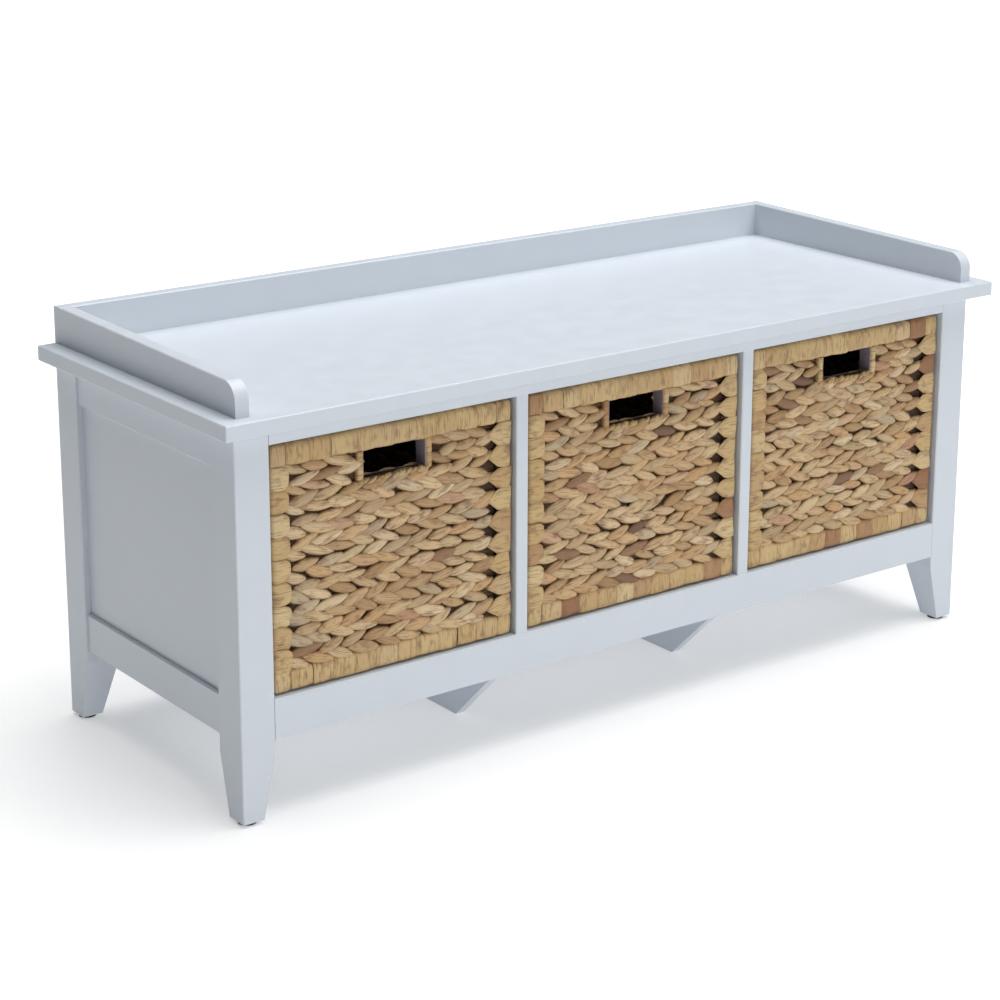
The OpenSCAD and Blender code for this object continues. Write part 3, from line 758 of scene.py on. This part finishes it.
def weave_floor(b):
    """Two fields of plait, one on each side of the floor."""
    wide, deep = b.wide - 2 * WALL, b.deep - 2 * WALL
    top = field((b.mid.x, b.mid.y, b.low.z + FLOOR), FLAT, wide + FLOOR_LAP, deep,
                FLOOR_ROWS, b.seed + 300)
    under = field((b.mid.x, b.mid.y, b.low.z + 2 * MM), UPSIDE_DOWN, wide + FLOOR_LAP,
                  deep, FLOOR_ROWS, b.seed + 400, scale_z=0.7)
    own(join(b.body + "_floor_plaits", [top, under], plait_finish), b.body,
        PLAIT_SLOT, b.body + "_floor")


def fill_cores(b):
    """Slabs in the walls, floor and posts, beside the hole and in both rims."""
    low, high, mid, pitch = b.low, b.high, b.mid, b.tall / PLAITS
    half = WALL / 2
    core = [rolled_slab(length, height, WALL_CORE, WALL_ROLL, pitch, place, turn)
            for length, height, place, turn in (
                (b.run_x, b.tall, (mid.x, high.y - half, b.z), BACK),
                (b.run_y, b.tall, (low.x + half, mid.y, b.z), LEFT),
                (b.run_y, b.tall, (high.x - half, mid.y, b.z), RIGHT),
                (b.run_x, b.below, (mid.x, low.y + half, b.rim_low + b.below / 2),
                 FRONT))]
    core.append(rolled_slab(b.wide - 2 * WALL, b.deep - 2 * WALL, FLOOR_CORE,
                            FLOOR_ROLL, pitch,
                            (mid.x, mid.y, low.z + FLOOR / 2 + 0.5 * MM), FLAT))
    for s in (-1, 1):
        core.append(rolled_slab(
            b.beside - HOLE_SETBACK, HOLE_H, WALL_CORE, WALL_ROLL, pitch,
            (mid.x + s * (HOLE_W + b.beside + HOLE_SETBACK) / 2, low.y + half,
             b.hole_z), FRONT))
        for t in (-1, 1):
            core.append(rolled_slab(
                POST_CORE_W, b.tall, POST_CORE, POST_ROLL, pitch,
                (mid.x + s * (b.wide - WALL) / 2, mid.y + t * (b.deep - WALL) / 2,
                 b.z), FRONT))
    for bar_z in (low.z + RIM / 2, high.z - RIM / 2):
        for s in (-1, 1):
            for length, place, turn in (
                    (b.wide, (mid.x, mid.y + s * (b.deep - WALL) / 2, bar_z), FRONT),
                    (b.deep, (mid.x + s * (b.wide - WALL) / 2, mid.y, bar_z), LEFT)):
                core.append(rolled_slab(length - SHORT, RIM_CORE_H, RIM_CORE, RIM_ROLL,
                                        RIM_CORE_H, place, turn))
    # the cores' dark finish is painted shade between the leaves
    own(join(b.body + "_stalk_core", core, painted_shade_core_finish), b.body, PLAIT_SLOT)


print("floors have", FLOOR_ROWS // 2, "plaits")

# %% [markdown]
# ## Rims
# A rim is four wound runs with a rounded block of stalk where two of them meet. Near
# a corner a real winding crosses over itself in no clear order, so the block takes
# that place. The bottom rim is raised a little, so that its turns don't cut into the
# board under it.

# %% Wind the rims
CORNER_SIZE, ROUNDNESS = (20.6 * MM, 20.6 * MM, 24.2 * MM), 0.32
CORNER_RINGS, CORNER_SIDES = 6, 16
RAISED, LOWERED = 1.8 * MM, 0.5 * MM
FRONT_TURNS, SIDE_TURNS = 10, 12


def corner_turn(place, seed):
    """A rounded block; ROUNDNESS 1 would be a ball, and 0 a sharp block."""
    points, faces, uvs = [], [], []
    for i in range(CORNER_RINGS + 1):
        lat = -UP + math.pi * i / CORNER_RINGS
        for j in range(CORNER_SIDES):
            lon = 2 * math.pi * j / CORNER_SIDES
            ball = [math.cos(lat) * math.cos(lon), math.cos(lat) * math.sin(lon),
                    math.sin(lat)]
            p = [math.copysign(abs(v) ** ROUNDNESS, v) * size / 2
                 if abs(v) > 1e-9 else 0.0 for v, size in zip(ball, CORNER_SIZE)]
            points.append(p)
            uvs.append((j * 0.5, p[2] * UV_PER_M))
    for i in range(CORNER_RINGS):
        for j in range(CORNER_SIDES):
            k, a = (j + 1) % CORNER_SIDES, i * CORNER_SIDES
            faces.append((a + j, a + k, a + CORNER_SIDES + k, a + CORNER_SIDES + j))
    mesh = toned(plain_mesh("corner", points, faces, uvs), random.Random(seed).random())
    mesh.transform(Matrix.Translation(place))
    return mesh


def wind_rims(b):
    """Eight runs and eight corner blocks: half for each rim."""
    mid, turns = b.mid, []
    bars = (b.low.z + RIM / 2 + RAISED, b.high.z - RIM / 2 - LOWERED)
    for level, bar_z in enumerate(bars):
        for s in (-1, 1):
            seed = b.seed + 500 + 100 * level + 10 * (s + 2)
            x, y = mid.x + s * (b.wide - WALL) / 2, mid.y + s * (b.deep - WALL) / 2
            turns.append(winding(rim_turn, (mid.x, y, bar_z), FLAT,
                                 b.wide - 2 * WALL, FRONT_TURNS, seed))
            turns.append(winding(rim_turn, (x, mid.y, bar_z), ALONG,
                                 b.deep - 2 * WALL, SIDE_TURNS, seed + 5))
            for t in (-1, 1):
                turns.append(corner_turn((x, mid.y + t * (b.deep - WALL) / 2, bar_z),
                                         seed + t))
    own(join(b.body + "_wound_rims", turns, wrap_finish), b.body, WRAP_SLOT,
        b.body + "_top_rim", b.body + "_bottom_rim")


print("a corner block has", CORNER_RINGS * CORNER_SIDES, "faces")

# %% [markdown]
# ## Hand hole
# A thin steel strap lines the hole and keeps it open. It is set back a little from
# both faces of the wall. Its sides are wound with stalk, and a fine twisted cord
# finishes the edge under it, which is what a hand rubs on.

# %% Line and edge the hand hole
STRAP, SETBACK, STRAP_R = 1.5 * MM, 1.5 * MM, 2 * MM
ARC_STEPS = 4
CORD_H, CORD_PITCH = 5 * MM, 6 * MM
CORD_OUT, CORD_DOWN, CORD_LAP = 1.2 * MM, 1 * MM, 14 * MM
EDGE_OUT = 4.5 * MM    # from the hole's side to the middle of its winding


def cord_edge(place, turn, length, seed):
    """A fine twisted cord: the same leaves, small, leaning and close together."""
    columns = round(length / CORD_PITCH)
    return grow(plait_tree, Leaf=leaf, Width=length, Height=CORD_H, Columns=columns,
                Half_Rows=1, Lean=-0.5, Roll=0.0, Leaf_Scale=(0.3, 0.34, 0.8),
                Rough=0.8, Tuck=0.0, Seed=seed, Place=place, Turn=turn,
                Material=wrap_finish)


def hole_strap(place):
    """A rounded rectangle with a thin wall, as four rings of points."""
    depth, points, faces = WALL - 2 * SETBACK, [], []
    for outward, y in ((0, 0), (STRAP, 0), (STRAP, depth), (0, depth)):
        for corner, (cx, cz) in enumerate(CORNERS):
            for k in range(ARC_STEPS + 1):
                t = math.radians(90 * (corner + k / ARC_STEPS))
                r = STRAP_R + outward
                points.append((cx * (HOLE_W / 2 - STRAP_R) + r * math.cos(t),
                               y + SETBACK,
                               cz * (HOLE_H / 2 - STRAP_R) + r * math.sin(t)))
    n = len(points) // 4
    for ring in range(4):
        for i in range(n):
            j, a, b = (i + 1) % n, ring * n, (ring + 1) % 4 * n
            faces.append((a + i, a + j, b + j, b + i))
    mesh = plain_mesh("strap", points, faces)
    mesh.shade_flat()
    mesh.transform(Matrix.Translation(place))
    return mesh


def post_angles(quarter):
    """Stands the turn's X axis up, with its pinch towards the basket's inside."""
    stand = Matrix(((0, 1, 0), (0, 0, 1), (1, 0, 0)))   # X to Z, Y to X, Z to Y
    turn = Matrix.Rotation(quarter * UP, 3, "Z") @ stand
    return tuple(turn.to_euler("XYZ"))


def edge_hole(b):
    """The strap in the hole, and the cord and windings on its edges."""
    mid, low = b.mid, b.low
    strap = hole_strap((mid.x, low.y, b.hole_z))
    own(join(b.body + "_hand_hole_strap", [strap], small["grey_steel_strap"]),
        b.body, "frame_steel")
    edging = [cord_edge((mid.x, low.y - CORD_OUT, b.hole_low - CORD_DOWN), FRONT,
                        HOLE_W + CORD_LAP, b.seed + 900)]
    for s in (-1, 1):
        place = (mid.x + s * (HOLE_W / 2 + EDGE_OUT), low.y + WALL / 2, b.hole_z)
        edging.append(winding(edge_turn, place, post_angles(0), HOLE_H, 2,
                              b.seed + 910 + s))
    own(join(b.body + "_hole_edging", edging, wrap_finish), b.body, WRAP_SLOT)


print("the cord has", round((HOLE_W + CORD_LAP) / CORD_PITCH), "twists")

# %% [markdown]
# ## Posts, and the three baskets
# Each corner post is one wound bar with a turn for every plait. The turns are rougher
# than the rim's, because they are pulled in between the plaits' ends. Then each
# basket is made in the same order, and the pieces that the trees repeat go away.

# %% Wind the posts and weave the three baskets
POST_ROUGH = 2.0


def wind_posts(b):
    """Four wound posts; the front right one has the turns that fan out."""
    posts = []
    for quarter, (s, t) in enumerate(((-1, -1), (1, -1), (1, 1), (-1, 1))):
        fanned = (s, t) == (1, -1)
        piece, across = (fan_turn, FAN) if fanned else (post_turn, POST)
        place = (b.mid.x + s * (b.wide - across) / 2,
                 b.mid.y + t * (b.deep - POST) / 2, b.z)
        posts.append(winding(piece, place, post_angles(quarter), b.tall, PLAITS,
                             b.seed + 800 + 10 * quarter, POST_ROUGH))
    own(join(b.body + "_wound_posts", posts, wrap_finish), b.body, WRAP_SLOT,
        b.body + "_corner_posts")


for k, side in enumerate(("left", "middle", "right")):
    b = basket_sizes(side, k)
    for make in (weave_walls, weave_floor, fill_cores, wind_rims, edge_hole,
                 wind_posts):
        make(b)
for thing in (leaf, rim_turn, post_turn, fan_turn, edge_turn):
    bpy.data.objects.remove(thing)

# %% [markdown]
# ## Camera
# The bench is seen from its front left corner and a little above, from about three
# metres, with a long lens. The small shift keeps the legs nearly upright, as a
# product camera's rising front does.

# %% Camera
camera = bpy.data.objects.new("camera", bpy.data.cameras.new("camera"))
bpy.context.scene.collection.objects.link(camera)
camera.location = (-1.6975, -2.1846, 1.0959)
camera.rotation_euler = (math.radians(75.07), 0, math.radians(-36.46))
camera.data.lens = 87.6
camera.data.sensor_width = 36
camera.data.shift_x, camera.data.shift_y = 0.0163, -0.12
camera.data.clip_end = 50
bpy.context.scene.camera = camera
print("lens", round(camera.data.lens, 1), "mm")

# %% [markdown]
# ## A white studio
# Soft light from a big panel overhead, a smaller one to the right and a broad one in
# front, on a wide pale floor. A white studio's floor and walls throw light back, so
# the floor glows a little under the bench and fully behind it. To the sides it only
# looks white to the camera, and so does the sky: a Light Path node tells a camera's
# ray from the others, so a white background costs the bench none of its shading.

# %% Floor and world
NEAR_GLOW, FAR_GLOW, WORLD_GLOW, SKY_GLOW = 0.34, 1.0, 0.03, 1.1
NEAR, FAR = 0.6, 3.0                # metres behind, between which the glow changes
CLEAR = 0.8                         # to the sides it changes this much further out
AWAY = (0.6, 0.8, 0.0)              # the way that the camera looks, on the floor
FLOOR_R, SIDES = 30.0, 48

paper, tree, shader = finish("white_studio_paper")
place = add(tree, "ShaderNodeTexCoord").outputs["Object"]
mottle = add(tree, "ShaderNodeTexNoise",
             {"Vector": place, "Scale": 3.0, "Detail": 2.0}).outputs["Fac"]
tree.links.new(ramp(tree, mottle, [(0.3, "E2E2E2"), (0.7, "E4E4E4")]),
               shader.inputs["Base Color"])
behind = add(tree, "ShaderNodeVectorMath", {0: place, 1: AWAY},
             operation="DOT_PRODUCT").outputs["Value"]
round_about = add(tree, "ShaderNodeMath", {0: add(
    tree, "ShaderNodeVectorMath", {0: place}, operation="LENGTH").outputs["Value"],
    1: CLEAR}, operation="SUBTRACT").outputs[0]
seen = add(tree, "ShaderNodeMath", {
    0: round_about, 1: add(tree, "ShaderNodeLightPath").outputs["Is Camera Ray"]},
    operation="MULTIPLY").outputs[0]
reach = add(tree, "ShaderNodeMath", {0: behind, 1: seen},
            operation="MAXIMUM").outputs[0]
tree.links.new(add(tree, "ShaderNodeMapRange", {
    "Value": reach, "From Min": NEAR, "From Max": FAR, "To Min": NEAR_GLOW,
    "To Max": FAR_GLOW}).outputs["Result"], shader.inputs["Emission Strength"])
shader.inputs["Emission Color"].default_value = (1, 1, 1, 1)
shader.inputs["Roughness"].default_value = 0.95
shader.inputs["Specular IOR Level"].default_value = 0.1
rim = [(FLOOR_R * math.cos(2 * math.pi * k / SIDES),
        FLOOR_R * math.sin(2 * math.pi * k / SIDES), 0.0) for k in range(SIDES)]
floor = scene_object(plain_mesh("studio_floor", rim, [tuple(range(SIDES))]))
floor.data.materials.append(paper)

world = bpy.data.worlds.new("studio")
bpy.context.scene.world = world
world.use_nodes = True
tree = world.node_tree
sky = tree.nodes["Background"].inputs
sky["Color"].default_value = (0.94, 0.97, 1.0, 1.0)
tree.links.new(add(tree, "ShaderNodeMapRange", {
    "Value": add(tree, "ShaderNodeLightPath").outputs["Is Camera Ray"],
    "To Min": WORLD_GLOW, "To Max": SKY_GLOW}).outputs["Result"], sky["Strength"])
print("the floor has a radius of", FLOOR_R, "m")

# %% [markdown]
# ## Three panels
# Each panel is a square area light, which is what a soft box is. All of them face a
# point in the middle of the bench. They are big, so the shadows are soft. The one in
# front stands lower and further off, so it lights all three baskets alike.

# %% Lights
AIM = (0, 0, 0.3)


def panel(name, place, size, power):
    """A soft box: a square area light that faces the middle of the bench."""
    light = bpy.data.lights.new(name, "AREA")
    light.energy, light.size = power, size
    lamp = bpy.data.objects.new(name, light)
    bpy.context.scene.collection.objects.link(lamp)
    lamp.location = place
    lamp.rotation_euler = (Vector(AIM) - Vector(place)).to_track_quat(
        "-Z", "Y").to_euler()


# name, place, size in metres, power in watts
panel("overhead_panel", (0.3, 0.2, 4.2), 4.0, 196)
panel("right_panel", (1.6, -1.6, 4.0), 2.5, 48)
panel("front_panel", (0.2, -6.8, 2.2), 3.5, 138)
bpy.context.scene.view_settings.view_transform = "Standard"
print("three panels and the glow of the floor light the bench")
